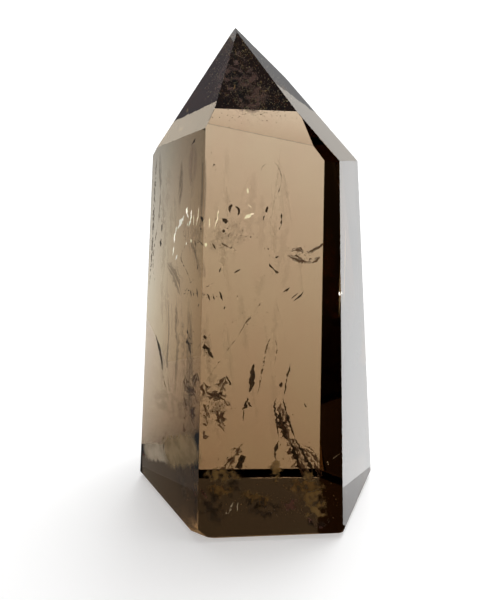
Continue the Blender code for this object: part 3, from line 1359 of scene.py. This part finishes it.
@dataclass
class Studio:
    """A pale floor, a pale surround and soft light, with cards for the stone.

    The floor gives off more light far away than near the stone, from floor_glow to
    far_glow over the floor_fade distances. horizon and dim are the surround's
    brightness low down and higher up, and it fades between glow_top and glow_end,
    which are 0 at the horizon and 1 straight up. fade is where a card with a far
    brightness fades along Y. The contact fields size the shade round the foot, and
    the tip_card fields the card at the back face of the tip: tip_card_match is how
    nearly a face of the stone has to face along tip_card_facing to be copied.
    """

    floor_size: float = 6.0
    floor_drop: float = 0.2 * MM
    floor_shade: float = 0.82
    floor_glow: float = 0.36
    far_glow: float = 0.78
    floor_fade: Span = (0.12, 0.9)
    horizon: float = 1.0
    dim: float = 0.16
    glow_top: float = 0.27
    glow_end: float = 0.45
    fade: Span = (20.0 * MM, 75.0 * MM)
    softbox_spot: Vector = field(default_factory=lambda: Vector((0.25, 0.35, 0.9)))
    softbox_size: float = 0.8
    softbox_power: float = 9.0
    contact_height: float = 0.75 * MM
    contact_gap: float = 1.012
    contact_hem: float = 0.94
    contact_sink: float = 0.1 * MM
    tip_card_gap: float = 0.04 * MM
    tip_card_facing: Vector = field(default_factory=lambda: Vector((0.128, 0.907, 0.401)))
    tip_card_match: float = 0.9995
    tip_card_brightness: float = 1.48
    tip_card_tint: Colour = (1.0, 0.96, 0.93)
    cards: tuple[Card, ...] = (
        Card("front_flag", on_floor(0.05, (-400, -900), (400, -10)), Seen.IN_GLOSS, 0.0),
        Card("left_flag", on_floor(0.05, (-600, -16), (-20, 400)), Seen.IN_GLOSS, 0.13),
        Card("left_foot_flag", on_floor(0.06, (-20, -16), (-7, 12)), Seen.IN_GLOSS, 0.06),
        Card("right_card", on_floor(0.05, (19, -16), (300, 300)), Seen.IN_GLOSS, 2.0),
        Card("band_flag", on_floor(0.08, (-110, -60), (-19, 4)), Seen.THROUGH_STONE, 0.06),
        Card("back_left_flag", on_floor(0.08, (-110, 13), (-24, 50)), Seen.THROUGH_STONE, 0.12),
        Card(
            "left_face_card", on_floor(0.1, (11, 19), (110, 19), (110, 110), (30, 110)),
            Seen.THROUGH_STONE, 1.1, (1.0, 1.0, 0.94), 0.4,
        ),
        Card(
            "left_tip_light", standing(-40, 150, (-60, 38), (0.4, 38), (-11.2, 80), (-60, 80)),
            Seen.IN_GLOSS, 2.7, (1.0, 0.87, 0.7),
        ),
        Card(
            "left_tip_dark", standing(-40, 150, (0.4, 38), (60, 38), (60, 80), (-11.2, 80)),
            Seen.IN_GLOSS, 0.3, (1.0, 0.9, 0.95),
        ),
        Card(
            "right_tip_light", standing(25, 150, (16.9, 30), (60, 30), (60, 80), (-8.6, 80)),
            Seen.IN_GLOSS, 1.3, (1.0, 0.94, 0.86),
        ),
        Card(
            "right_tip_dark", standing(25, 150, (-60, 30), (16.9, 30), (-8.6, 80), (-60, 80)),
            Seen.IN_GLOSS, 0.52,
        ),
    )

    def build(self, stone: bpy.types.Object) -> None:
        """Set the whole studio up.

        Args:
            stone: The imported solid, which the shade of contact under it follows.
        """
        self._build_floor()
        self._build_surround()
        self._build_softbox()
        for card in self.cards:
            self._build_card(card)
        self._build_contact_shade(stone)
        self._build_tip_card(stone)

    def _plate(self, name: str, corners: tuple[Vector, ...]) -> bpy.types.Object:
        """Make one flat four-sided plate that is no part of the stone.

        Args:
            name: Its name.
            corners: Its corners, in order round it.

        Returns:
            The plate's object.
        """
        bm = bmesh.new()
        bmesh.ops.create_circle(bm, cap_ends=True, segments=4, radius=1.0)
        for vert, corner in zip(bm.verts, corners):
            vert.co = corner
        return self._staged(name, bm)

    def _staged(self, name: str, bm: bmesh.types.BMesh) -> bpy.types.Object:
        """Turn a bmesh into an object that is marked as no part of the stone.

        Args:
            name: Its name.
            bm: Its shape, which is used up.

        Returns:
            The object.
        """
        mesh = bpy.data.meshes.new(name)
        bm.to_mesh(mesh)
        bm.free()
        plate = bpy.data.objects.new(name, mesh)
        bpy.context.scene.collection.objects.link(plate)
        return plate

    def _build_floor(self) -> None:
        """Lay the pale floor, which gives off a little light as a light table does."""
        half = self.floor_size / 2 / MM
        corners = on_floor(self.floor_drop / MM, (-half, -half), (half, half))
        floor = self._plate("floor", corners)
        material, graph = surface("pale_floor", {
            "Base Color": (self.floor_shade,) * 3 + (1.0,),
            "Roughness": 0.9,
            "Specular IOR Level": 0.0,
            "Emission Strength": 1.0,
        })
        spot = graph.add("ShaderNodeTexCoord", output="Object")
        settings = {"operation": "LENGTH"}
        away = graph.add("ShaderNodeVectorMath", settings, {0: spot}, output="Value")
        near, far = (self.floor_glow,) * 3, (self.far_glow,) * 3
        glow = graph.mix(away.step(*self.floor_fade), near, far)
        connect(material, {"Emission Color": glow})
        floor.data.materials.append(material)

    def _build_surround(self) -> None:
        """Make the surround: pale round the horizon and dim higher up."""
        world = bpy.data.worlds.new("studio")
        bpy.context.scene.world = world
        world.use_nodes = True
        graph = Graph(world.node_tree)
        toward = graph.add("ShaderNodeTexCoord", output="Generated")
        height = graph.add("ShaderNodeSeparateXYZ", {}, {0: toward}, output="Z")
        level = height.step(self.glow_end, self.glow_top) * (self.horizon - self.dim) + self.dim
        background = world.node_tree.nodes["Background"]
        background.inputs["Color"].default_value = (*WHITE, 1.0)
        graph.plug(background.inputs["Strength"], level)

    def _build_softbox(self) -> None:
        """Hang a square soft light that points at the stone."""
        data = bpy.data.lights.new("softbox", "AREA")
        data.shape = "SQUARE"
        data.size = self.softbox_size
        data.energy = self.softbox_power
        lamp = bpy.data.objects.new("softbox", data)
        lamp.location = self.softbox_spot
        lamp.rotation_euler = (-self.softbox_spot).to_track_quat("-Z", "Y").to_euler()
        bpy.context.scene.collection.objects.link(lamp)

    def _build_card(self, card: Card) -> None:
        """Set up one card.

        Args:
            card: The card.
        """
        plate = self._plate(card.name, card.corners)
        material, graph = card_finish(card.name, card.brightness, card.tint)
        if card.far_brightness is not None:
            share = card.far_brightness / card.brightness
            far_tint = tuple(part * share for part in card.tint)
            spot = graph.add("ShaderNodeTexCoord", output="Object")
            away = graph.add("ShaderNodeSeparateXYZ", {}, {0: spot}, output="Y")
            glow = graph.mix(away.step(*self.fade), card.tint, far_tint)
            connect(material, {"Emission Color": glow})
        plate.data.materials.append(material)
        self._show_only_in_stone(plate, card.seen)

    def _build_contact_shade(self, stone: bpy.types.Object) -> None:
        """Put the dark of contact round the foot, which the base's bevel looks into.

        Args:
            stone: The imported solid, whose outline just above the floor it follows.
        """
        bm = read_mesh(stone)
        bmesh.ops.remove_doubles(bm, verts=bm.verts[:], dist=MERGE_DISTANCE)
        bmesh.ops.bisect_plane(
            bm,
            geom=bm.verts[:] + bm.edges[:] + bm.faces[:],
            dist=MERGE_DISTANCE,
            plane_co=(0.0, 0.0, self.contact_height),
            plane_no=(0.0, 0.0, 1.0),
            clear_outer=True,
            clear_inner=True,
        )
        foot = self._draw_out(bm, bm.edges[:])
        down = (0.0, 0.0, -self.contact_height - self.contact_sink)
        bmesh.ops.translate(bm, verts=foot, vec=down)
        bmesh.ops.scale(bm, verts=bm.verts[:], vec=(self.contact_gap, self.contact_gap, 1.0))
        rim = [edge for edge in bm.edges if all(vert in foot for vert in edge.verts)]
        inner = self._draw_out(bm, rim)
        bmesh.ops.scale(bm, verts=inner, vec=(self.contact_hem, self.contact_hem, 1.0))
        shade = self._staged("contact_shade", bm)
        material, _ = card_finish("contact_shade")
        shade.data.materials.append(material)
        self._show_only_in_stone(shade, Seen.THROUGH_STONE)

    @staticmethod
    def _draw_out(
        bm: bmesh.types.BMesh, edges: list[bmesh.types.BMEdge]
    ) -> list[bmesh.types.BMVert]:
        """Draw new faces out of some edges.

        Args:
            bm: What the edges belong to.
            edges: The edges.

        Returns:
            The new vertices, which still lie on the old ones.
        """
        drawn = bmesh.ops.extrude_edge_only(bm, edges=edges)["geom"]
        return [item for item in drawn if isinstance(item, bmesh.types.BMVert)]

    def _build_tip_card(self, stone: bpy.types.Object) -> None:
        """Hold a small card to the back face of the tip, to even the front's light.

        Args:
            stone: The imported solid, whose back tip face it copies.
        """
        bm = read_mesh(stone)
        facing = self.tip_card_facing.normalized()
        others = [face for face in bm.faces if face.normal.dot(facing) < self.tip_card_match]
        bmesh.ops.delete(bm, geom=others, context="FACES")
        bmesh.ops.translate(bm, verts=bm.verts[:], vec=facing * self.tip_card_gap)
        card = self._staged("back_tip_card", bm)
        material, _ = card_finish("back_tip_card", self.tip_card_brightness, self.tip_card_tint)
        card.data.materials.append(material)
        self._show_only_in_stone(card, Seen.THROUGH_STONE)

    @staticmethod
    def _show_only_in_stone(plate: bpy.types.Object, seen: Seen) -> None:
        """Hide a plate from everything but the stone's gloss or its inside.

        Args:
            plate: The plate.
            seen: Which of the two it shows in.
        """
        plate.visible_camera = False
        plate.visible_diffuse = False
        plate.visible_shadow = False
        plate.visible_glossy = seen is Seen.IN_GLOSS
        plate.visible_transmission = seen is Seen.THROUGH_STONE


def build_inclusions(sightlines: Sightlines) -> None:
    """Build everything that lies inside the stone.

    Args:
        sightlines: What finds the places of the marks.
    """
    OpenCracks().build(sightlines, "open_cracks", CRACK_DARK)
    HairlinesAndRimShade().build(sightlines, "hairlines_and_rim_shade", HAIRLINE_AND_RIM_SHADE)
    Feathers().build(sightlines, "feathers", FEATHER_GRAIN)
    Veils().build(sightlines, "veils", VEIL_MIST)
    FRONT_LINES.build(sightlines, "front_growth_lines", GROWTH_FAINT)
    LEFT_LINES.build(sightlines, "left_growth_lines", GROWTH)
    SmokeAndShadeStreaks().build(sightlines, "smoke_and_shade_streaks", SMOKE_AND_SHADE)
    RoseStreaks().build(sightlines, "rose_streaks", ROSE)
    PaintedCornerLight().build(sightlines, "painted_corner_light", PAINTED_CORNER_LIGHT)
    AmberGlow().build(sightlines, "amber_glow_haze", AMBER_GLOW)
    TipCloudsAndGlow().build(sightlines, "tip_clouds", TIP_CLOUD_AND_GLOW)
    FootShadows().build(sightlines, "foot_shadows", FOOT_DARK)
    Stains().build(sightlines, "ochre_stains", OCHRE)
    RedStains().build(sightlines, "rust_stains", RUST)
    Glints().build(sightlines, "glints", GLINT)
    DullGlints().build(sightlines, "dull_glints", GLINT_DULL)
    DARK_FLECKS.build(sightlines, FLECK_DARK)
    TIP_FLECKS.build(sightlines, FLECK_GOLD)
    BASE_FLECKS.build(sightlines, FLECK_BROWN)


def main() -> None:
    """Build the stone, what lies inside it and its studio."""
    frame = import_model()
    camera = Camera()
    camera.build()
    bpy.context.scene.view_settings.view_transform = "Standard"
    node = frame["nodes"][STONE_NODE]
    Studio().build(node)
    Stone().dress(node)
    build_inclusions(Sightlines(camera, node))


if __name__ == "__main__":
    logging.basicConfig(level=logging.INFO, format="%(message)s")
    main()
